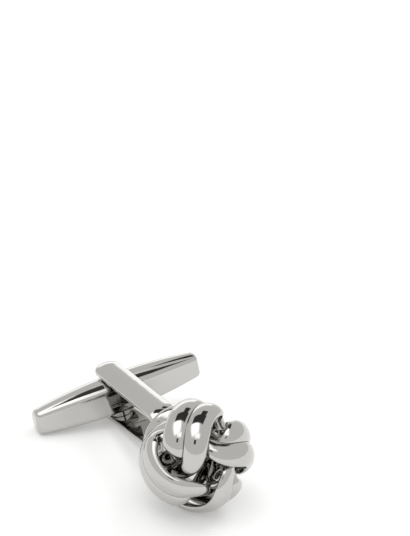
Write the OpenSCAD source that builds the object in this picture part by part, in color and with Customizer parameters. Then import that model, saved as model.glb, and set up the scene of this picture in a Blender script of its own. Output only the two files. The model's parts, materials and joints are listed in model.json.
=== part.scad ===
// Love knot cufflink with a swivel bar, in millimetres.
// Two doubled loops of half-round wire weave the knot. A round plate backs it, a
// U-shaped yoke stands on the plate, and a torpedo-shaped toggle turns on a pin between
// the yoke's legs.
//
// Every piece is drawn in a working frame with the pin's middle at its origin: X runs
// along the post to the knot, Y along the toggle when it stands square, and Z along
// the pin. lay() then sets the whole cufflink down on a table as it lies by itself, on
// the knot, on one leg and on one end of the toggle, with +Z up and the origin under
// the middle of its box.

/* [Knot] */
// Distance from the pin to the middle of the weave
post_len = 18.2; // [17:0.1:20]
// Radius of the ball that the strands weave about
weave_r = 4.5; // [4.4:0.05:4.8]
// How far a strand rises and sinks where two bands cross
weave_rise = 1; // [0.9:0.02:1.1]
// How far a band swings to each side of its middle circle, in degrees
weave_swing = 33; // [31:0.5:35]
// How far that circle lies toward the front of the knot, in degrees
weave_lift = 13; // [8:0.5:16]
// Width of one strand, halfway between two crossings
strand_w = 2.4; // [1.8:0.05:2.45]
// How much wider a strand is where it passes over, and narrower where it passes under
strand_swell = 0.6; // [0.5:0.05:0.7]
// Height of a strand's round outer half
strand_out = 0.75; // [0.6:0.05:0.85]
// Height of a strand's flatter inner half
strand_in = 0.35; // [0.25:0.05:0.4]
// Space between the two strands of a band
strand_gap = 0.03; // [0.02:0.01:0.1]
// Turn of the knot about the post, in degrees
knot_turn = 90; // [0:1:180]
// Lean of the knot's opening away from the post's line, in degrees
knot_lean = 10; // [0:1:12]

/* [Back plate] */
// Radius of the plate behind the knot
plate_r = 3.8; // [3.5:0.1:4.2]
// Thickness of the plate at its thinner side
plate_t = 0.6; // [0.5:0.05:1]
// Radius of the round at the plate's back edge
plate_round = 0.4; // [0.2:0.05:0.5]
// Depth of the groove across the plate's back, where the yoke is seated
groove_d = 0.2; // [0.1:0.05:0.3]
// Height of the boss that stands in the knot's rear opening
boss_h = 1.2; // [0.8:0.1:1.4]
// Radius of the round at the boss's front edge
boss_round = 0.5; // [0.2:0.05:0.6]

/* [Yoke] */
// Width of the yoke's strap
leg_w = 3; // [2.6:0.1:3.2]
// Thickness of the strap in its middle
leg_t = 0.85; // [0.8:0.05:1.1]
// Radius of the strap's crowned outer face
crown_r = 3.2; // [2.8:0.1:5]
// Clear gap between the legs at the pin
gap_pin = 4.8; // [4.7:0.05:5.2]
// Clear gap between the legs next to the knot
gap_head = 4.2; // [4:0.05:4.6]
// Inner radius of the yoke's two corners
corner_r = 1.3; // [1:0.1:1.6]
// Length of each leg beyond the pin
leg_over = 2.3; // [2:0.1:2.6]
// Length of the foot that stands in the plate's groove
foot_len = 3.6; // [3:0.1:4.4]
// Width of that foot
foot_w = 2.6; // [2:0.1:2.8]
// Height of the foot under the strap
foot_t = 0.4; // [0.3:0.05:0.6]

/* [Toggle] */
// Length of the toggle
toggle_len = 19.4; // [17:0.1:20]
// Radius of the toggle at the pin
toggle_r = 2.22; // [1.9:0.02:2.26]
// Radius of the toggle at its ends
end_r = 1.45; // [1.2:0.05:1.6]
// Radius of the round at the edge of each end
end_round = 0.45; // [0.2:0.05:0.6]
// Distance from the pin's line to the front face in its middle
face_mid = 1.7; // [1.5:0.05:1.8]
// Distance from the pin's line to the front face at the ends
face_end = 0.95; // [0.85:0.05:1.1]
// Radius of the bearing pads beside the legs
pad_r = 1.3; // [1:0.1:1.5]
// Play between a pad and its leg
pad_play = 0.05; // [0.03:0.01:0.1]
// How far the toggle has been turned from square as it lies, in degrees
toggle_turn = -7; // [-12:1:12]

/* [Pin] */
// Radius of the pin
pin_r = 0.6; // [0.5:0.05:0.7]
// Depth of the pin's blind seat in each leg
pin_seat = 0.45; // [0.35:0.05:0.55]
// Play of the pin in the toggle, on the radius
pin_play = 0.04; // [0.02:0.01:0.08]
// Clearance of the pin in its seats
seat_play = 0.01; // [0.01:0.01:0.02]

/* [Leaf spring] */
// Length of the spring's slot in the toggle's front face
slot_len = 4.8; // [4.4:0.1:6]
// Width of the slot
slot_w = 1.5; // [1.3:0.1:1.7]
// Thickness of the spring
leaf_t = 0.25; // [0.2:0.05:0.3]
// Height of the spring's bow
leaf_bow = 0.45; // [0.3:0.05:0.6]
// Space round the spring, and between it and the pin
leaf_play = 0.05; // [0.03:0.01:0.08]

/* [Hidden] */
$fn = 64;
// One overrun serves every cut
cut = 1;
// Share of a third harmonic that keeps the crossings wide and flat
plateau_share = 0.08;
// Rings along a strand and corners round it
strand_rings = 96;
strand_sides = 12;
// Step for taking a strand's direction, in degrees
step = 0.5;
// The knot leans toward this side of the post, in degrees from Y toward Z
lean_side = 180;
// How far the yoke's straight lengths run into its corners, and how far the corners
// swell where the strap is bent
seam = 0.2;
swell = 0.03;
// How far the toggle's bowed side runs in under the rounds of its ends
end_step = 0.03;
// Power of a strand's section: 1 is an ellipse, and less gives fuller shoulders
shoulder_power = 0.7;
// Clearance between the knot and the plate, and round the plate's boss
plate_play = 0.03;
boss_play = 0.08;
// Space between the strap and each side of the groove
groove_play = 0.07;

function unit(v) = v / norm(v);

// Middle of a doubled band: two loops, half a turn of the weave apart, cross four times.
function band_radius(q) = weave_r + weave_rise * (cos(q) - plateau_share * cos(3 * q));
function band_latitude(q) = weave_lift + weave_swing * sin(q);
function band_point(p, q) =
    let (r = band_radius(q), l = band_latitude(q))
    r * [sin(l), cos(l) * cos(p + knot_turn), cos(l) * sin(p + knot_turn)];
function band_middle(p, loop) = band_point(p, 2 * p + 180 * loop);
function strand_width(p, loop) = strand_w + strand_swell * cos(2 * p + 180 * loop);

// One ring of a strand that lies beside the band's middle, on side 1 or -1.
function strand_ring(p, loop, side) =
    let (
        mid = band_middle(p, loop),
        along = unit(band_middle(p + step, loop) - band_middle(p - step, loop)),
        across = unit(cross(along, unit(mid))),
        out = cross(across, along),
        width = strand_width(p, loop),
        bend = side * (width + strand_gap) / 2 / norm(mid) * 180 / PI,
        out2 = cos(bend) * out + sin(bend) * across,
        across2 = cos(bend) * across - sin(bend) * out,
        core = mid + norm(mid) * (sin(bend) * across + (cos(bend) - 1) * out)
    )
    [for (i = [0 : strand_sides - 1])
        let (a = 360 * i / strand_sides, high = abs(sin(a)) ^ shoulder_power)
        core + across2 * cos(a) * width / 2
             + out2 * (sin(a) > 0 ? high * strand_out : -high * strand_in)];

function strand_points(loop, side) =
    [for (k = [0 : strand_rings - 1])
        each strand_ring(360 * k / strand_rings, loop, side)];

// The leaning knot, with its middle on the post's line.
function lean(v) =
    let (
        axis = [0, -sin(lean_side), cos(lean_side)],
        c = cos(knot_lean),
        s = sin(knot_lean)
    )
    v * c + cross(axis, v) * s + axis * (axis * v) * (1 - c);

knot_upright = [for (loop = [0, 1]) for (side = [-1, 1]) each strand_points(loop, side)];
knot_points = [for (v = knot_upright) lean(v) + [post_len, 0, 0]];
// The plate's front face leans with the knot and meets it all round, its back is square
seat_x = min([for (v = knot_upright) v[0]]) - plate_play;
boss_r = min([for (v = knot_upright) if (v[0] < 0) norm([v[1], v[2]])]) - boss_play;
plate_back = post_len + seat_x / cos(knot_lean) - plate_r * tan(knot_lean) - plate_t;
// Outer face of the yoke's base, and the middles of its corners
groove_w = leg_w + 2 * (swell + groove_play);
strap_end = plate_back + groove_d - foot_t;
corner_x = strap_end - leg_t - corner_r;
corner_z = gap_head / 2 - corner_r;
// Angle by which each leg opens outward from the knot to the pin
splay_rise = gap_pin / 2 - corner_z;
splay = acos(corner_r / norm([splay_rise, corner_x])) - atan2(corner_x, splay_rise);
leg_len = (corner_x + corner_r * sin(splay)) / cos(splay);

// Rest pose: the roll and pitch at which knot, leg and toggle end touch one plane.
function height(v, pitch, roll) =
    -sin(pitch) * v[0] + cos(pitch) * (sin(roll) * v[1] + cos(roll) * v[2]);
function turned(v, pitch, roll) =
    let (y = cos(roll) * v[1] - sin(roll) * v[2], z = sin(roll) * v[1] + cos(roll) * v[2])
    [cos(pitch) * v[0] + sin(pitch) * z, y, -sin(pitch) * v[0] + cos(pitch) * z];
// Far end of the lower leg: a crowned cap, lowest where its crown faces the table
cap_x = leg_over - leg_w / 2;
cap_middle = [-cap_x, 0, -(gap_pin / 2 + leg_t - crown_r + cap_x * sin(splay))];
arm = toggle_len / 2 - end_round;
end_points = [for (s = [-1, 1]) for (a = [0 : 15 : 345])
    let (x = min((end_r - end_round) * cos(a), face_end - end_round))
    let (z = (end_r - end_round) * sin(a))
    [x * cos(toggle_turn) - s * arm * sin(toggle_turn),
     x * sin(toggle_turn) + s * arm * cos(toggle_turn), z]];
function knot_drop(pitch, roll) =
    height([post_len, 0, 0], pitch, roll) - min([for (v = knot_points) height(v, pitch, roll)]);
function leg_drop(pitch, roll) = crown_r - height(cap_middle, pitch, roll);
function end_lift(pitch, roll) =
    leg_drop(pitch, roll) + min([for (v = end_points) height(v, pitch, roll)]) - end_round;
function settled(pitch, roll, rounds) =
    rounds == 0 ? [pitch, roll] :
    settled(-asin((knot_drop(pitch, roll) - leg_drop(pitch, roll)) / post_len),
            roll + asin(end_lift(pitch, roll) / arm), rounds - 1);
rest = settled(-8, 8, 6);
lie_pitch = rest[0];
lie_roll = rest[1];

laid_knot = [for (v = knot_points) turned(v, lie_pitch, lie_roll)];
laid_ends = [for (v = end_points) turned(v, lie_pitch, lie_roll)];
laid_cap = turned(cap_middle, lie_pitch, lie_roll);
low_z = min(min([for (v = laid_knot) v[2]]), laid_cap[2] - crown_r,
            min([for (v = laid_ends) v[2]]) - end_round);
box_x = [-leg_over * cos(lie_pitch) + sin(lie_pitch) * gap_pin / 2, max([for (v = laid_knot) v[0]])];
box_y = [min([for (v = laid_ends) v[1]]) - end_round, max([for (v = laid_ends) v[1]]) + end_round];
shift = [-(box_x[0] + box_x[1]) / 2, -(box_y[0] + box_y[1]) / 2, -low_z];

function laid(v) = turned(v, lie_pitch, lie_roll) + shift;

echo(lie_pitch = lie_pitch, lie_roll = lie_roll, splay = splay, boss_r = boss_r);
echo(pin_middle = laid([0, 0, 0]), pin_axis = turned([0, 0, 1], lie_pitch, lie_roll));
echo(plate_face = laid([plate_back, (groove_w / 2 + plate_r - plate_round) / 2, 0]),
     plate_normal = turned([-1, 0, 0], lie_pitch, lie_roll));
echo(post_axis = turned([1, 0, 0], lie_pitch, lie_roll), knot_middle = laid([post_len, 0, 0]));

module lay() {
    translate(shift) rotate([lie_roll, lie_pitch, 0]) children();
}

// A closed tube through a strand's rings
module strand(loop, side) {
    n = strand_rings;
    m = strand_sides;
    faces = [for (k = [0 : n - 1]) for (i = [0 : m - 1])
        let (
            a = k * m + i,
            b = k * m + (i + 1) % m,
            c = (k + 1) % n * m + (i + 1) % m,
            d = (k + 1) % n * m + i
        )
        each [[a, b, c], [a, c, d]]];
    polyhedron([for (v = strand_points(loop, side)) lean(v) + [post_len, 0, 0]], faces);
}

module strand_a_left() {
    color("silver") lay() strand(0, 1);
}

module strand_a_right() {
    color("silver") lay() strand(0, -1);
}

module strand_b_left() {
    color("silver") lay() strand(1, 1);
}

module strand_b_right() {
    color("silver") lay() strand(1, -1);
}

// A disc on z = 0 whose far edge is rounded
module rounded_disc(r, h, edge) {
    rotate_extrude() {
        square([r - edge, h]);
        square([r, h - edge]);
        translate([r - edge, h - edge]) circle(edge);
    }
}

module back_plate() {
    deep = 2 * (plate_t + plate_r * tan(knot_lean));
    side = 2 * (plate_r + deep);
    lean_axis = [0, -sin(lean_side), cos(lean_side)];
    color("gainsboro") lay() {
        difference() {
            intersection() {
                translate([plate_back + deep, 0, 0]) rotate([0, -90, 0])
                    rounded_disc(plate_r, deep, plate_round);
                translate([post_len, 0, 0]) rotate(knot_lean, lean_axis)
                    translate([seat_x - side, -side / 2, -side / 2]) cube(side);
            }
            translate([plate_back - cut, -groove_w / 2, -side / 2])
                cube([groove_d + cut, groove_w, side]);
        }
        translate([post_len, 0, 0]) rotate(knot_lean, lean_axis)
            translate([seat_x - plate_t / 2, 0, 0]) rotate([0, 90, 0])
                rounded_disc(boss_r, plate_t / 2 + boss_h, boss_round);
    }
}

// Section of the strap: flat inside, crowned outside, grown on all sides
module strap_section(grow = 0) {
    intersection() {
        translate([-leg_w / 2 - grow, -grow]) square([leg_w + 2 * grow, leg_t + 2 * grow]);
        translate([0, leg_t - crown_r]) circle(crown_r + grow, $fn = 128);
    }
}

// One leg, with its inner face on z = 0 and the pin's line through its origin
module leg() {
    translate([-cap_x, 0, 0]) rotate([90, 0, 90])
        linear_extrude(leg_len + cap_x + seam) strap_section();
    translate([-cap_x, 0, 0]) intersection() {
        cylinder(leg_t, r = leg_w / 2);
        translate([0, 0, leg_t - crown_r]) sphere(crown_r, $fn = 128);
    }
}

// Half of the yoke: a leg and a corner
module yoke_half() {
    translate([0, 0, gap_pin / 2]) rotate([0, splay, 0]) leg();
    translate([corner_x, 0, corner_z]) rotate([-90, 0, 0]) rotate(splay - 90)
        rotate_extrude(angle = 90 - splay) translate([corner_r, 0]) rotate(-90)
            strap_section(swell);
}

module yoke() {
    color("silver") lay() difference() {
        union() {
            yoke_half();
            mirror([0, 0, 1]) yoke_half();
            translate([strap_end - leg_t, 0, -corner_z - seam]) rotate(-90)
                linear_extrude(2 * (corner_z + seam)) strap_section();
            translate([strap_end - leg_t / 2, -foot_w / 2, -foot_len / 2])
                cube([foot_t + leg_t / 2, foot_w, foot_len]);
        }
        cylinder(gap_pin + 2 * pin_seat, r = pin_r + seat_play, center = true);
    }
}

module pivot_pin() {
    color("darkgray") lay() cylinder(gap_pin + 2 * (pin_seat - seat_play), r = pin_r, center = true);
}

// Radius of an arc that bows by drop over a half length
function bow_r(half, drop) = (half * half + drop * drop) / (2 * drop);

// Half outline of the spindle: a bowed side and rounded blunt ends
module spindle_outline() {
    bow = bow_r(arm, toggle_r - end_r + end_step);
    intersection() {
        translate([0, -arm]) square([toggle_r, 2 * arm]);
        translate([toggle_r - bow, 0]) circle(bow, $fn = 360);
    }
    translate([0, -toggle_len / 2]) square([end_r - end_round, toggle_len]);
    for (s = [-1, 1])
        translate([end_r - end_round, s * arm]) circle(end_round);
}

module toggle() {
    face = bow_r(toggle_len / 2, face_mid - face_end);
    pad_h = gap_pin - 2 * (pad_play + pad_r * tan(splay));
    slot_x = pin_r + leaf_play;
    color("silver") lay() rotate(toggle_turn) difference() {
        intersection() {
            union() {
                rotate([-90, 0, 0]) rotate_extrude() spindle_outline();
                cylinder(pad_h, r = pad_r, center = true);
            }
            translate([face_mid - face, 0, 0]) cylinder(2 * toggle_len, r = face, center = true, $fn = 360);
        }
        cylinder(2 * gap_pin, r = pin_r + pin_play, center = true);
        translate([slot_x, -slot_len / 2, -slot_w / 2]) cube([toggle_r, slot_len, slot_w]);
    }
}

// A bowed leaf in the toggle's slot, with its middle just clear of the pin
module leaf_spring() {
    half = slot_len / 2 - leaf_play;
    bend = bow_r(half, leaf_bow);
    width = slot_w - 2 * leaf_play;
    color("darkgray") lay() rotate(toggle_turn)
        translate([pin_r + 2 * leaf_play + bend, 0, 0]) intersection() {
            difference() {
                cylinder(width, r = bend, center = true, $fn = 180);
                cylinder(width + cut, r = bend - leaf_t, center = true, $fn = 180);
            }
            translate([-bend - cut, -half, -width]) cube([bend, 2 * half, 2 * width]);
        }
}

strand_a_left();
strand_a_right();
strand_b_left();
strand_b_right();
back_plate();
yoke();
pivot_pin();
toggle();
leaf_spring();
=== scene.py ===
# %% [markdown]
# # A love-knot cufflink in polished plate
#
# A cufflink is a small job with one hard demand: it is a mirror. Every curve has to be
# smooth, and most of what the eye reads as silver is the room it reflects. So this
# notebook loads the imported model, then makes the pieces that show as smooth surfaces
# from the same rules as the model, and last sets the light.

# %% Load the model and measure it
import json
import math

import bmesh
import bpy
import numpy as np
from mathutils import Matrix, Vector


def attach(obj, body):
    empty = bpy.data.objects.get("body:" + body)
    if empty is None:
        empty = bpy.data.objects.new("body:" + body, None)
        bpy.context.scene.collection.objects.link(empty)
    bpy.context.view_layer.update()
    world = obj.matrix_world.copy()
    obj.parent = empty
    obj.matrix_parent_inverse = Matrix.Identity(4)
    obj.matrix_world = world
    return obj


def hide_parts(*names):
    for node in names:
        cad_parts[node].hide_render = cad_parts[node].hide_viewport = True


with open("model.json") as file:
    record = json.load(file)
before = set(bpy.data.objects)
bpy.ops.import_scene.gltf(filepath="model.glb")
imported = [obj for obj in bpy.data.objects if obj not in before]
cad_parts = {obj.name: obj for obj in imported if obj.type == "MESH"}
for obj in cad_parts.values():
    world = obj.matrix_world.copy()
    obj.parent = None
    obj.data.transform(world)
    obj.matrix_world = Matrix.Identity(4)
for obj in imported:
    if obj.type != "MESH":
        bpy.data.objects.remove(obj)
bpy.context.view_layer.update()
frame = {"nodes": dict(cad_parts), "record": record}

# %% [markdown]
# ## The working frame
#
# The cufflink lies tilted on the table, which makes its own shapes awkward to write. The
# pieces are easier in a frame that goes with them: origin in the middle of the pin, X
# along the post to the knot, Z along the pin. A point and two directions from the
# model's record give that frame, so its place and tilt aren't typed again here.

# %% A frame that goes with the post and the pin
record = frame["record"]
swivel = record["behaviour"]["joints"][0]
pin_middle = np.array(swivel["pos_m"])
pin_way = np.array(swivel["axis"]) / np.linalg.norm(swivel["axis"])
cuff_face = record["mounts"][0]
post_way = -np.array(cuff_face["axis"])
post_way /= np.linalg.norm(post_way)
side_way = np.cross(pin_way, post_way)


def laid(points_mm):
    """Points in the working frame, in millimetres, to the table's frame, in metres."""
    axes = np.stack([post_way, side_way, pin_way])
    return pin_middle + np.asarray(points_mm) / 1000 @ axes


print("pin's middle in mm:", np.round(1000 * laid([0, 0, 0]), 2))

# %% [markdown]
# ## Small helpers
#
# Hex colours are written as a screen shows them, while Blender counts light, so one
# function turns the first into the second. Another adds a shader node with its settings
# and links in one line, which keeps each material short enough to read.

# %% Colours and nodes
def linear(hex_colour):
    """sRGB hex to linear light: divide by 12.92 near black, else a power of 2.4."""
    s = np.array([int(hex_colour[i:i + 2], 16) for i in (1, 3, 5)]) / 255
    light = np.where(s <= 0.04045, s / 12.92, ((s + 0.055) / 1.055) ** 2.4)
    return (*light, 1.0)


def add(tree, kind, links=None, **settings):
    """Add a node of this kind, set its attributes, and fill or link its inputs."""
    made = tree.nodes.new(kind)
    for name, value in settings.items():
        setattr(made, name, value)
    for socket, value in (links or {}).items():
        if isinstance(value, bpy.types.NodeSocket):
            tree.links.new(value, made.inputs[socket])
        else:
            made.inputs[socket].default_value = value
    return made


print("mid grey in light:", round(linear("#808080")[0], 3))

# %% [markdown]
# ## Surfaces from grids
#
# Each new piece is made of grids of points. The faces are worked out for a whole grid at
# once, and foreach_set hands them to Blender in one go. Points that fall together become
# one point, which closes every seam and pole. Faces are smooth, because a mirror shows
# each flat facet, and only edges that turn by more than 40 degrees stay sharp.

# %% Put grids of points into a mesh
merge_digits, sharp_turn = 4, 40


def grid_faces(rows, columns, closed_rows=False, closed_columns=False):
    """Quads of a grid of points, joined from last to first in the directions asked for."""
    k = np.arange(rows if closed_rows else rows - 1)[:, None]
    i = np.arange(columns if closed_columns else columns - 1)[None, :]
    k2, i2 = (k + 1) % rows, (i + 1) % columns
    quads = np.broadcast_arrays(
        k * columns + i, k * columns + i2, k2 * columns + i2, k2 * columns + i)
    return np.stack(quads, -1).reshape(-1, 4)


def show(name, mesh, body, nodes, finish):
    """Put a mesh on show with its finish, riding on a body in place of the model's nodes."""
    mesh.materials.clear()
    mesh.materials.append(finish)
    piece = bpy.data.objects.new(name, mesh)
    bpy.context.scene.collection.objects.link(piece)
    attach(piece, body)
    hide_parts(*nodes)
    print(name, len(mesh.polygons), "faces")
    return piece


def mesh_piece(name, parts, body, nodes, finish):
    """One closed object from parts, each of points in millimetres and quads between them."""
    points, quads, start = [], [], 0
    for some, faces in parts:
        points.append(some.reshape(-1, 3))
        quads.append(faces + start)
        start += len(points[-1])
    points, quads = np.concatenate(points), np.concatenate(quads)
    first, same = np.unique(
        np.round(points, merge_digits), axis=0, return_index=True, return_inverse=True)[1:]
    quads = same.reshape(-1)[quads]
    kept = quads != np.roll(quads, -1, axis=1)
    whole = kept.sum(1) > 2
    sizes, corners = kept[whole].sum(1), quads[whole][kept[whole]]
    mesh = bpy.data.meshes.new(name)
    mesh.vertices.add(len(first))
    mesh.vertices.foreach_set("co", laid(points[first]).astype(np.float32).ravel())
    mesh.loops.add(len(corners))
    mesh.loops.foreach_set("vertex_index", corners.astype(np.int32))
    mesh.polygons.add(len(sizes))
    mesh.polygons.foreach_set("loop_start", (np.cumsum(sizes) - sizes).astype(np.int32))
    mesh.polygons.foreach_set("loop_total", sizes.astype(np.int32))
    mesh.update(calc_edges=True)
    outward = bmesh.new()
    outward.from_mesh(mesh)
    bmesh.ops.recalc_face_normals(outward, faces=outward.faces)
    print(name, "open edges:", sum(not edge.is_manifold for edge in outward.edges))
    outward.to_mesh(mesh)
    outward.free()
    mesh.shade_smooth()
    mesh.set_sharp_from_angle(angle=math.radians(sharp_turn))
    return show(name, mesh, body, nodes, finish)


print("quads of a ring of 4 by 3:", len(grid_faces(4, 3, True, True)))

# %% [markdown]
# ## Polished plate
#
# The knot, yoke and toggle are taken as brass under a bright white plate, rhodium or
# chrome, polished on a soft wheel. Chrome sends back a little over half of the light, and
# that share is used here. So under a white tent the plate reads as light grey, and only
# the panels read as white.
# Its polish is not perfect. Faint clouds in the gloss move the roughness a little. Broad
# waves from the wheel and fine hairlines move the surface's slope a little. Real hairlines
# are far finer than a pixel, so these are drawn 0.1 mm apart in order to show at all.

# %% Polished white plate
plate_colour = "#BFBEBB"


def polished_plate(name, colour, rough, wave):
    """Metal with cloudy gloss, 1.5 mm wheel waves and hairlines at 0.1 mm spacing."""
    made = bpy.data.materials.new(name)
    made.use_nodes = True
    tree = made.node_tree
    shader = tree.nodes["Principled BSDF"]
    shader.inputs["Base Color"].default_value = linear(colour)
    shader.inputs["Metallic"].default_value = 1.0
    place = add(tree, "ShaderNodeTexCoord").outputs["Object"]
    cloud = add(tree, "ShaderNodeTexNoise", {"Vector": place, "Scale": 420.0, "Detail": 3.0})
    gloss = add(tree, "ShaderNodeMapRange", {
        "Value": cloud.outputs["Fac"], "From Min": 0.3, "From Max": 0.7,
        "To Min": rough * 0.7, "To Max": rough * 1.4})
    tree.links.new(gloss.outputs["Result"], shader.inputs["Roughness"])
    waves = add(tree, "ShaderNodeTexNoise", {"Vector": place, "Scale": 650.0, "Detail": 1.0})
    stretch = add(tree, "ShaderNodeMapping", {"Vector": place, "Scale": (900.0, 10000.0, 900.0)})
    lines = add(tree, "ShaderNodeTexNoise", {"Vector": stretch.outputs["Vector"], "Scale": 1.0})
    both = add(tree, "ShaderNodeMath", {0: lines.outputs["Fac"], 1: 0.04, 2: waves.outputs["Fac"]},
               operation="MULTIPLY_ADD")
    slope = add(tree, "ShaderNodeBump", {
        "Height": both.outputs["Value"], "Strength": 1.0, "Distance": wave})
    tree.links.new(slope.outputs["Normal"], shader.inputs["Normal"])
    return made


plate_metal = polished_plate("rhodium_plate_polished", plate_colour, 0.06, 0.000012)
spring_steel = polished_plate("spring_steel_drawn", "#8E8D8B", 0.22, 0.00001)
print("plate sends back", round(linear(plate_colour)[0], 2), "of the light")

# %% [markdown]
# ## The knot
#
# Two closed loops of doubled half-round wire cross each other four times round a hollow.
# The model carries each as a tube of 96 rings with flat sides. A mirror needs many more,
# and the rule that makes them is short, so the wires are worked out again from it. A
# curve object with a bevel would twist along the path; here the section keeps its round
# side outwards because it is built from the ball that the knot is woven on. The model's
# wires are 3 mm wide where they pass over. These are about 2.5 mm wide there, which keeps
# the bands apart and lets the eye into the hollow.

# %% The rule of the weave, in millimetres and degrees
post_len, weave_r, weave_rise = 18.2, 4.5, 1.0
weave_swing, weave_lift, plateau_share = 33.0, 13.0, 0.08
wire_w, wire_swell, swell_share = 2.18, 0.42, 0.15
wire_out, wire_in, inner_power = 0.75, 0.35, 0.7
shared_reach, pair_gap, turn_share = 1.15, 0.01, 0.9
knot_turn, knot_lean, lean_side = 90.0, 10.0, 180.0


def weave_angle(p, loop):
    """The angle q = 2p + 180 loop that a loop's rise and swing follow, in radians."""
    return np.radians(2 * p + 180 * loop)


def band_middle(p, loop):
    """Middle of a loop's band at angle p round the post, in degrees.

    The distance is r + rise (cos q - share cos 3q), and the height over the knot's middle
    circle is lift + swing sin q, in degrees of latitude.
    """
    q = weave_angle(p, loop)
    r = weave_r + weave_rise * (np.cos(q) - plateau_share * np.cos(3 * q))
    lat = np.radians(weave_lift + weave_swing * np.sin(q))
    turn = np.radians(p + knot_turn)
    return r[:, None] * np.stack([
        np.sin(lat), np.cos(lat) * np.cos(turn), np.cos(lat) * np.sin(turn)], -1)


def unit(v):
    """Directions brought to length one."""
    return v / np.linalg.norm(v, axis=-1, keepdims=True)


print("band's first point in mm:", np.round(band_middle(np.zeros(1), 0)[0], 2))

# %% [markdown]
# Each wire lies to one side of its band's middle, rolled over with the ball's surface. Its
# free shoulder is a quarter of an ellipse. The shoulder that it shares with its twin
# follows the ellipse's first terms, 1 - s^2/2 - s^4/8, which never turn steep, and stops
# at the band's middle plane. That leaves a shallow valley that light can reach, as on
# cast or soldered pairs. Two full ellipses would leave a black slit there. Where a band
# turns more tightly than it is wide, its rings would cross on the inside of the turn and
# fold the wire, so a point s to that side is drawn in to s / (1 + (c s / t)^4)^(1/4), with
# c the turn's curvature and t a little under 1.

# %% A wire's surface
direction_step, draw_power, tiny = 0.5, 4, 1e-9


def wire_section(side, width, corners=40):
    """Sideways and upward reach of a wire's outline from its own middle line."""
    a = 2 * np.pi * np.arange(corners) / corners
    shared = side * np.cos(a) < 0
    share = np.cos(a) * np.where(shared, shared_reach, 1)
    shoulder = np.where(shared, 1 - share ** 2 / 2 - share ** 4 / 8, np.abs(np.sin(a)))
    inside = np.abs(np.sin(a)) ** inner_power
    high = np.where(np.sin(a) > tiny, wire_out * shoulder, -wire_in * inside)
    return share * width / 2, high


def drawn_in(sideways, mid, along, across):
    """Sideways reach, drawn in on the inside of a turn that is tighter than the wire is wide."""
    step = np.linalg.norm(np.roll(mid, -1, 0) - np.roll(mid, 1, 0), axis=-1)
    turning = np.sum((np.roll(along, -1, 0) - np.roll(along, 1, 0)) * across, -1) / step
    tight = np.maximum(turning[:, None] * sideways, 0) / turn_share
    return sideways / (1 + tight ** draw_power) ** (1 / draw_power)


def wire_surface(loop, side, rings=640):
    """Rings of points round a band's wire: sideways and upward from the band's middle."""
    p = np.arange(rings) * 360 / rings
    q = weave_angle(p, loop)
    mid = band_middle(p, loop)
    along = unit(band_middle(p + direction_step, loop) - band_middle(p - direction_step, loop))
    across = unit(np.cross(along, unit(mid)))
    out = np.cross(across, along)
    far = np.linalg.norm(mid, axis=-1, keepdims=True)
    width = (wire_w + wire_swell * (np.cos(q) - swell_share * np.cos(3 * q)))[:, None]
    wide, high = wire_section(side, width)
    bend = side * width / 2 / far
    sideways = far * np.sin(bend) + np.cos(bend) * wide + np.sin(bend) * high
    sideways = side * np.maximum(side * sideways, pair_gap / 2)
    sideways = drawn_in(sideways, mid, along, across)
    upward = far * (np.cos(bend) - 1) - np.sin(bend) * wide + np.cos(bend) * high
    return (mid[:, None] + across[:, None] * sideways[..., None]
            + out[:, None] * upward[..., None])


def leaned(points):
    """Turn the knot about its middle so that its hollow leans off the post's line."""
    side = math.radians(lean_side)
    turn = Matrix.Rotation(math.radians(knot_lean), 3, Vector((0, -math.sin(side), math.cos(side))))
    return points @ np.array(turn).T + np.array([post_len, 0, 0])


for loop, letter in enumerate("ab"):
    for side, hand in ((1, "left"), (-1, "right")):
        points = leaned(wire_surface(loop, side))
        faces = grid_faces(*points.shape[:2], True, True)
        name = f"{letter}_{hand}"
        mesh_piece("wire_" + name, [(points, faces)], "head", ["strand_" + name], plate_metal)

# %% [markdown]
# ## The toggle
#
# The torpedo is a spindle turned on a lathe, then ground to a long bowed face on the side
# toward the knot, where its spring is let in. The model is made in that way, and has a
# sharp edge round that face. Polishing rounds such an edge, so each section is written
# out here as an arc, a flat and two fillets, and drawn in at the ends. How wide the real
# rounding is can't be told, and the fillets here may be too wide.

# %% Sections of the toggle
toggle_len, toggle_r, end_r, end_round = 19.4, 2.22, 1.45, 0.45
face_mid, face_end, face_edge = 1.7, 0.95, 0.9
mouth_len, slot_len, slot_w, slot_floor, lip_under = 2.8, 4.8, 1.5, 0.65, 1.47
toggle_turn = -7.0


def bowed(y, middle, end):
    """Height of an arc that is middle high at y = 0 and end high where the end rounds start."""
    half, drop = toggle_len / 2 - end_round, middle - end
    radius = (half * half + drop * drop) / (2 * drop)
    return middle - radius + np.sqrt(radius * radius - y * y)


def toggle_rows(body_rows=161, end_rows=14, slot_rows=25):
    """Place along the toggle, inset and shrink of each section, from end to end."""
    cap = np.array([0, 0.25, 0.5, 0.75, 0.95])
    t = np.linspace(0, np.pi / 2, end_rows)[:-1]
    arm = toggle_len / 2 - end_round
    outer = np.linspace(arm, mouth_len / 2, (body_rows - slot_rows) // 2, endpoint=False)
    middle = np.linspace(mouth_len / 2, -mouth_len / 2, slot_rows)
    y = np.concatenate([np.full(len(cap), toggle_len / 2), arm + end_round * np.cos(t), outer])
    inset = np.concatenate([
        np.full(len(cap), end_round), end_round * (1 - np.sin(t)), 0 * outer])
    shrink = np.concatenate([cap, np.ones(len(t) + len(outer))])
    return (np.concatenate([y, middle, -y[::-1]]),
            np.concatenate([inset, 0 * middle, inset[::-1]]),
            np.concatenate([shrink, 0 * middle + 1, shrink[::-1]]), len(y), slot_rows)


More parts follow.
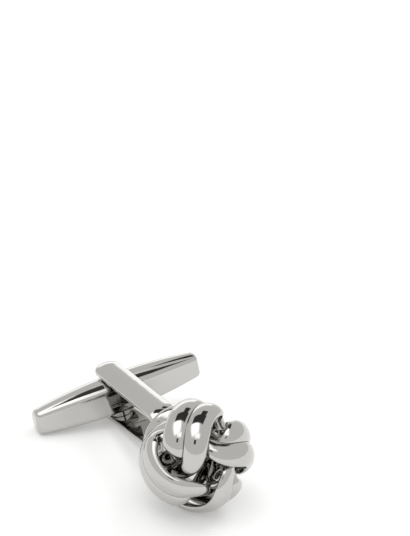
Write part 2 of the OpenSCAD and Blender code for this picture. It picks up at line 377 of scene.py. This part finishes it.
def turned(points):
    """Turn the toggle's points about the pin to the angle it lies at."""
    c, s = math.cos(math.radians(toggle_turn)), math.sin(math.radians(toggle_turn))
    return points @ np.array([[c, s, 0], [-s, c, 0], [0, 0, 1]])


print("toggle's radius 5 mm from the pin:", round(float(bowed(5.0, toggle_r, end_r)), 3))

# %% [markdown]
# The slot is a hole left in the grid of the face, with walls and a floor hung from its
# rim. Its mouth is shorter than the model's, so that the leg hides it at rest. Under a thin
# lip it is as long as the model's, which leaves room for the leaf's two ends. Two low rings
# on the flanks are the pads that bear on the legs. The bore between them is left to the
# model, because pads and legs cover it in every pose.

# %% Build the toggle
edge_share, rim_share, core_share = 0.55, 0.74, 0.3
side_points, mouth_points, fillet_points, arc_points = 7, 11, 9, 73
pad_r, pad_base, pad_top, bore_r = 1.3, 1.6, 2.31, 0.64


def slot_sheets(top):
    """Walls, lip and floor of the slot, hung from the rim of its mouth."""
    under = np.concatenate([top[:1], top, top[-1:]])
    under[..., 0] = lip_under
    under[0, :, 1], under[-1, :, 1] = slot_len / 2, -slot_len / 2
    floor = under.copy()
    floor[..., 0] = slot_floor
    borders = (np.s_[0], np.s_[-1], np.s_[:, 0], np.s_[:, -1])
    walls = [np.stack([top[line], under[1:-1][line]]) for line in borders]
    walls += [np.stack([under[line], floor[line]]) for line in borders]
    sheets = [floor, under[:2], under[-2:], *walls]
    return [(sheet, grid_faces(*sheet.shape[:2])) for sheet in sheets]


def toggle_parts():
    """The toggle's skin, open at the slot's mouth, and the sheets of the slot."""
    y, inset, shrink, first, slot_rows = toggle_rows()
    r = bowed(y, toggle_r, end_r) - inset
    d = bowed(y, face_mid, face_end) - inset
    f = np.minimum(face_edge, edge_share * d)
    flat = np.sqrt((r - f) ** 2 - (d - f) ** 2)
    rim = np.minimum(slot_w / 2, rim_share * flat)
    a0 = np.arctan2(flat, d - f)
    side = rim[:, None] + (flat - rim)[:, None] * np.linspace(0, 1, side_points)
    mouth = rim[:, None] * np.linspace(-1, 1, mouth_points)
    chord = np.concatenate([-side[:, ::-1], mouth[:, 1:-1], side], 1)
    edge = a0[:, None] * np.linspace(0, 1, fillet_points)[1:]
    arc = a0[:, None] + (2 * np.pi - 2 * a0)[:, None] * np.linspace(0, 1, arc_points)[1:]
    back = -edge[:, ::-1]
    f, r, d, flat = f[:, None], r[:, None], d[:, None], flat[:, None]
    x = np.concatenate([d + 0 * chord, d - f + f * np.cos(edge), r * np.cos(arc),
                        d - f + f * np.cos(back[:, 1:])], 1)
    z = np.concatenate([chord, flat + f * np.sin(edge), r * np.sin(arc),
                        -flat + f * np.sin(back[:, 1:])], 1)
    core = core_share * d
    x = core + (x - core) * shrink[:, None]
    points = np.stack([x, np.broadcast_to(y[:, None], x.shape), z * shrink[:, None]], -1)
    faces = grid_faces(*x.shape, closed_columns=True).reshape(len(y) - 1, x.shape[1], 4)
    low, high = side_points - 1, side_points + mouth_points - 2
    faces[first:first + slot_rows - 1, low:high] = 0
    top = points[first:first + slot_rows, low:high + 1]
    return [(points, faces.reshape(-1, 4)), *slot_sheets(top)]


def pad(side, corners=96):
    """A low ring round the pin, turned from a rectangle."""
    section = np.array([(bore_r, pad_base), (bore_r, pad_top), (pad_r, pad_top), (pad_r, pad_base)])
    a = 2 * np.pi * np.arange(corners) / corners
    x, y = section[:, :1] * np.cos(a), section[:, :1] * np.sin(a)
    points = np.stack([x, y, np.broadcast_to(side * section[:, 1:], x.shape)], -1)
    return points, grid_faces(*x.shape, True, True)


parts = [(turned(points), faces) for points, faces in toggle_parts() + [pad(1), pad(-1)]]
mesh_piece("torpedo", parts, "swivel_bar", ["toggle"], plate_metal)

# %% [markdown]
# ## The yoke
#
# The yoke is a strip of half-round strap bent into a U, with its ends rounded over and its
# foot soldered into the plate. A curve object would cut its ends off square. Here one half
# section, from the middle of the crown round the edge to the middle of the flat side, is
# carried round the whole strap: out along one edge, round the end, and back along the
# other.

# %% The strap's half section and its path
leg_w, leg_t, crown_r, edge_round, inner_round = 3.0, 0.85, 3.2, 0.3, 0.12
gap_pin, gap_head, corner_r, leg_over = 4.8, 4.2, 1.3, 2.3
groove_d, foot_len, foot_w, foot_t = 0.2, 3.6, 2.6, 0.4
under_reach = 0.7


def half_section(crown_points=16, edge_points=12, round_points=7):
    """Reach from the strap's middle line and height over its flat side."""
    w = leg_w / 2 - edge_round
    rise = math.sqrt((crown_r - edge_round) ** 2 - w * w)
    shoulder = math.atan2(rise, w)
    crown = np.linspace(np.pi / 2, shoulder, crown_points)
    edge = np.linspace(shoulder, 0, edge_points)[1:]
    under = np.linspace(0, -np.pi / 2, round_points)
    y = leg_t - crown_r
    reach = np.concatenate([crown_r * np.cos(crown), w + edge_round * np.cos(edge),
                            leg_w / 2 - inner_round + inner_round * np.cos(under),
                            [under_reach, 0]])
    height = np.concatenate([y + crown_r * np.sin(crown), y + rise + edge_round * np.sin(edge),
                             inner_round * (1 + np.sin(under)), [0, 0]])
    return reach, height


def strap_path(leg_points=60, bend_points=40):
    """Points (x, z) on the strap's inner side and its outward slope, from leg to leg."""
    base = np.dot(laid([0, 0, 0]) - np.array(cuff_face["pos_m"]), -post_way) * 1000
    strap_end = base + groove_d - foot_t
    cx, cz = strap_end - leg_t - corner_r, gap_head / 2 - corner_r
    rise = gap_pin / 2 - cz
    splay = math.acos(corner_r / math.hypot(rise, cx)) - math.atan2(cx, rise)
    reach = (cx + corner_r * math.sin(splay)) / math.cos(splay)
    along = np.linspace(leg_w / 2 - leg_over, reach, leg_points, endpoint=False)
    bend = np.linspace(np.pi / 2 - splay, 0, bend_points)
    x = np.concatenate([along * math.cos(splay), cx + corner_r * np.cos(bend)])
    z = np.concatenate([gap_pin / 2 - along * math.sin(splay), cz + corner_r * np.sin(bend)])
    slope = np.concatenate([0 * along + np.pi / 2 - splay, bend])
    return (np.concatenate([x, x[::-1]]), np.concatenate([z, -z[::-1]]),
            np.concatenate([slope, -slope[::-1]]), strap_end)


print("strap's height at its crown in mm:", round(float(half_section()[1].max()), 3))

# %% Build the yoke
def splay_of(slope):
    """Slope of a leg's run away from the knot, from the slope of its outward side."""
    return np.where(slope > 0, np.pi / 2 - slope, -np.pi / 2 - slope)


def strap_part(turn_points=39):
    """The strap in rings along its edge, and how far along the post it ends."""
    x, z, slope, strap_end = strap_path()
    turn = np.linspace(0, np.pi, turn_points + 2)[1:-1]
    n = len(x)
    last, start = np.full(turn_points, n - 1), np.zeros(turn_points, int)
    where = np.concatenate([np.arange(n), last, np.arange(n)[::-1], start])
    way = np.concatenate([np.zeros(n), turn, np.full(n, np.pi), np.pi - turn])
    out = np.stack([np.cos(slope), 0 * slope, np.sin(slope)], -1)
    splay = splay_of(slope)
    away = np.stack([-np.cos(splay), 0 * slope, np.sin(splay)], -1)
    spine = np.stack([x, 0 * x, z], -1)[where]
    lateral = np.cos(way)[:, None] * np.array([0, 1, 0]) + np.sin(way)[:, None] * away[where]
    reach, height = half_section()
    points = (spine[:, None] + reach[None, :, None] * lateral[:, None]
              + height[None, :, None] * out[where][:, None])
    return points, grid_faces(*points.shape[:2], closed_rows=True), strap_end


def block(low, high):
    """A plain box between two corners, as four rings of which the outer two are points."""
    square = np.array([(0, 0), (1, 0), (1, 1), (0, 1)])
    centre = np.full((4, 2), 0.5)
    rings = ((centre, 0), (square, 0), (square, 1), (centre, 1))
    share = np.array([np.column_stack([ring, np.full(4, level)]) for ring, level in rings])
    points = np.array(low) + share * (np.array(high) - np.array(low))
    return points, grid_faces(4, 4, closed_columns=True)


points, faces, strap_end = strap_part()
foot = block((strap_end - leg_t / 2, -foot_w / 2, -foot_len / 2),
             (strap_end + foot_t, foot_w / 2, foot_len / 2))
mesh_piece("strap_yoke", [(points, faces), foot], "head", ["yoke"], plate_metal)

# %% [markdown]
# ## Plate, pin and spring
#
# These three are plain turned and cut solids, so the model's own meshes will do. A copy is
# merged and shaded smooth on its rounds, and the flat sides keep their flat shading
# because the normals are weighted by the size of each face.

# %% Smooth copies of the plain solids
merge_distance, round_turn = 0.000001, 30


def smooth_copy(name, node, body, finish):
    """Show a merged and smoothed copy of a node's own mesh."""
    mesh = frame["nodes"][node].data.copy()
    merged = bmesh.new()
    merged.from_mesh(mesh)
    bmesh.ops.remove_doubles(merged, verts=merged.verts, dist=merge_distance)
    merged.to_mesh(mesh)
    merged.free()
    mesh.shade_smooth()
    mesh.set_sharp_from_angle(angle=math.radians(round_turn))
    piece = show(name, mesh, body, [node], finish)
    piece.modifiers.new("weighted", "WEIGHTED_NORMAL").keep_sharp = True


smooth_copy("rear_plate", "back_plate", "head", plate_metal)
smooth_copy("swivel_pin", "pivot_pin", "head", spring_steel)
smooth_copy("bowed_leaf", "leaf_spring", "swivel_bar", spring_steel)

# %% [markdown]
# ## Floor
#
# The object lies on white paper. The paper has to be white in the picture and in the
# metal, yet keep the soft shadow. So its light is in two parts: a plain white paint that
# the tent and panels light and the object shades, and a steady glow that only the camera,
# mirrors and clear things see, which lifts the lit paper to white.

# %% White paper that keeps the shadow
paper_size, paper_drop, paper_glow = 6.0, 0.00002, 0.2


def white_paper():
    """White paint, and a steady glow for the camera, mirrors and clear things alone."""
    made = bpy.data.materials.new("white_paper")
    made.use_nodes = True
    tree = made.node_tree
    tree.nodes.clear()
    ray = add(tree, "ShaderNodeLightPath")
    seen = add(tree, "ShaderNodeMath", {
        0: ray.outputs["Is Camera Ray"], 1: ray.outputs["Is Glossy Ray"]}, operation="MAXIMUM")
    seen = add(tree, "ShaderNodeMath", {
        0: seen.outputs["Value"], 1: ray.outputs["Is Transmission Ray"]}, operation="MAXIMUM")
    glow = add(tree, "ShaderNodeMath", {0: seen.outputs["Value"], 1: paper_glow},
               operation="MULTIPLY")
    paint = add(tree, "ShaderNodeBsdfDiffuse", {"Color": linear("#E6E6E6")})
    light = add(tree, "ShaderNodeEmission", {"Strength": glow.outputs["Value"]})
    both = add(tree, "ShaderNodeAddShader", {0: paint.outputs[0], 1: light.outputs[0]})
    add(tree, "ShaderNodeOutputMaterial", {"Surface": both.outputs[0]})
    return made


bpy.ops.mesh.primitive_plane_add(size=paper_size, location=(0, 0, -paper_drop))
paper = bpy.context.object
paper.name = "paper"
paper.data.materials.append(white_paper())
print("paper:", paper.dimensions[:])

# %% [markdown]
# ## Light
#
# The object stands in a pale tent, which is what most of the metal shows as grey. Soft
# white panels over it, in front and behind, give the bright bands. Dark cards give the
# accents that make it read as metal: a small one low over the toggle draws the streaks
# along its flanks, one behind puts the dark squares on the knot's crests, and one stands
# above and beside the lens. Panels and cards fade at their rims, as a real diffuser does.
# The cards are seen by the metal alone, so they take no light from the paper. One panel
# does the opposite: it only lights the paper, from behind, and lays the shadow forward.

# %% The tent, the panels and the cards
tent_colour, tent_glow, card_glow = (1.0, 0.997, 0.985, 1), 0.83, 0.05
aim_along = 10.0
tent_middle = Vector(laid([aim_along, 0, 0]))
world = bpy.data.worlds.new("tent")
bpy.context.scene.world = world
world.use_nodes = True
sky = world.node_tree.nodes["Background"]
sky.inputs["Color"].default_value = tent_colour
sky.inputs["Strength"].default_value = tent_glow


def fade_material(name, strength, half, rim):
    """Light of that strength that fades to clear over a rim, in metres, at each edge."""
    made = bpy.data.materials.new(name)
    made.use_nodes = True
    tree = made.node_tree
    tree.nodes.clear()
    spot = add(tree, "ShaderNodeSeparateXYZ", {
        "Vector": add(tree, "ShaderNodeTexCoord").outputs["Object"]})
    fades = []
    for axis, reach in zip("XY", half):
        away = add(tree, "ShaderNodeMath", {0: spot.outputs[axis]}, operation="ABSOLUTE")
        fades.append(add(tree, "ShaderNodeMapRange", {
            "Value": away.outputs["Value"], "From Min": reach, "From Max": reach - rim},
            interpolation_type="SMOOTHSTEP").outputs["Result"])
    both = add(tree, "ShaderNodeMath", {0: fades[0], 1: fades[1]}, operation="MULTIPLY")
    glow = add(tree, "ShaderNodeEmission", {"Strength": strength})
    mixed = add(tree, "ShaderNodeMixShader", {
        0: both.outputs["Value"], 1: add(tree, "ShaderNodeBsdfTransparent").outputs[0],
        2: glow.outputs[0]})
    add(tree, "ShaderNodeOutputMaterial", {"Surface": mixed.outputs[0]})
    return made


def panel(name, azimuth, elevation, size, strength, rim=0.02, spin=0.0, distance=0.5,
          aim=tent_middle):
    """A flat panel at that distance, which faces the aim from that azimuth and elevation."""
    a, e = math.radians(azimuth), math.radians(elevation)
    back = Vector((math.sin(a) * math.cos(e), -math.cos(a) * math.cos(e), math.sin(e)))
    bpy.ops.mesh.primitive_plane_add(size=1.0)
    sheet = bpy.context.object
    sheet.name = name
    sheet.data.transform(Matrix.Diagonal((size[0], size[1], 1, 1)))
    sheet.location = aim + back * distance
    sheet.rotation_mode = "QUATERNION"
    level = back.to_track_quat("Z", "Y")
    sheet.rotation_quaternion = level @ Matrix.Rotation(math.radians(spin), 3, "Z").to_quaternion()
    sheet.data.materials.append(fade_material(name, strength, (size[0] / 2, size[1] / 2), rim))
    sheet.visible_camera = False
    sheet.visible_shadow = False
    sheet.visible_diffuse = strength > card_glow
    return sheet


panel("front_top_panel", -20, 71, (0.55, 0.5), 2.3, 0.16)
panel("front_panel", 58, 60, (0.32, 0.22), 1.9, 0.09)
panel("rear_panel", -112, 10, (0.42, 0.2), 1.7, 0.05)
panel("toggle_card", 180, 88, (0.052, 0.026), card_glow, 0.004, 224, 0.05, Vector(pin_middle))
panel("back_card", -134, 54, (0.18, 0.15), card_glow, 0.02, distance=0.45)
panel("lens_card", 45, 40, (0.11, 0.13), card_glow, 0.02, distance=0.45)
panel("paper_panel", -166, 50, (0.25, 0.25), 4.0, 0.03).visible_glossy = False

# %% [markdown]
# ## Camera
#
# A long lens from about 37 cm, looking down by about 30 degrees. Its place was found by
# fitting the outlines of knot, legs and toggle in a frame 410 pixels wide and 536 high.

# %% Camera at the picture's angle
azimuth, elevation, roll = math.radians(59.24), math.radians(29.64), math.radians(4.0)
away, aim = 0.3718, Vector((-0.03598, 0.02543, 0.0))
sensor_w, focal_pixels, picture_h_pixels = 36, 3085, 536
clip_near, clip_far = 0.01, 20
heading = Vector((-math.sin(azimuth), math.cos(azimuth), 0))
look = heading * math.cos(elevation) - Vector((0, 0, math.sin(elevation)))
right = Vector((math.cos(azimuth), math.sin(azimuth), 0))
up = right.cross(look)
right, up = (right * math.cos(roll) + up * math.sin(roll),
             up * math.cos(roll) - right * math.sin(roll))
lens = bpy.data.cameras.new("camera")
lens.sensor_width = sensor_w
lens.lens = focal_pixels * sensor_w / picture_h_pixels
lens.clip_start, lens.clip_end = clip_near, clip_far
camera = bpy.data.objects.new("camera", lens)
facing = Matrix((right, up, -look)).transposed().to_4x4()
camera.matrix_world = Matrix.Translation(aim - look * away) @ facing
bpy.context.scene.collection.objects.link(camera)
bpy.context.scene.camera = camera
bpy.context.scene.view_settings.view_transform = "Standard"
print("camera at mm:", [round(1000 * x, 1) for x in camera.location])
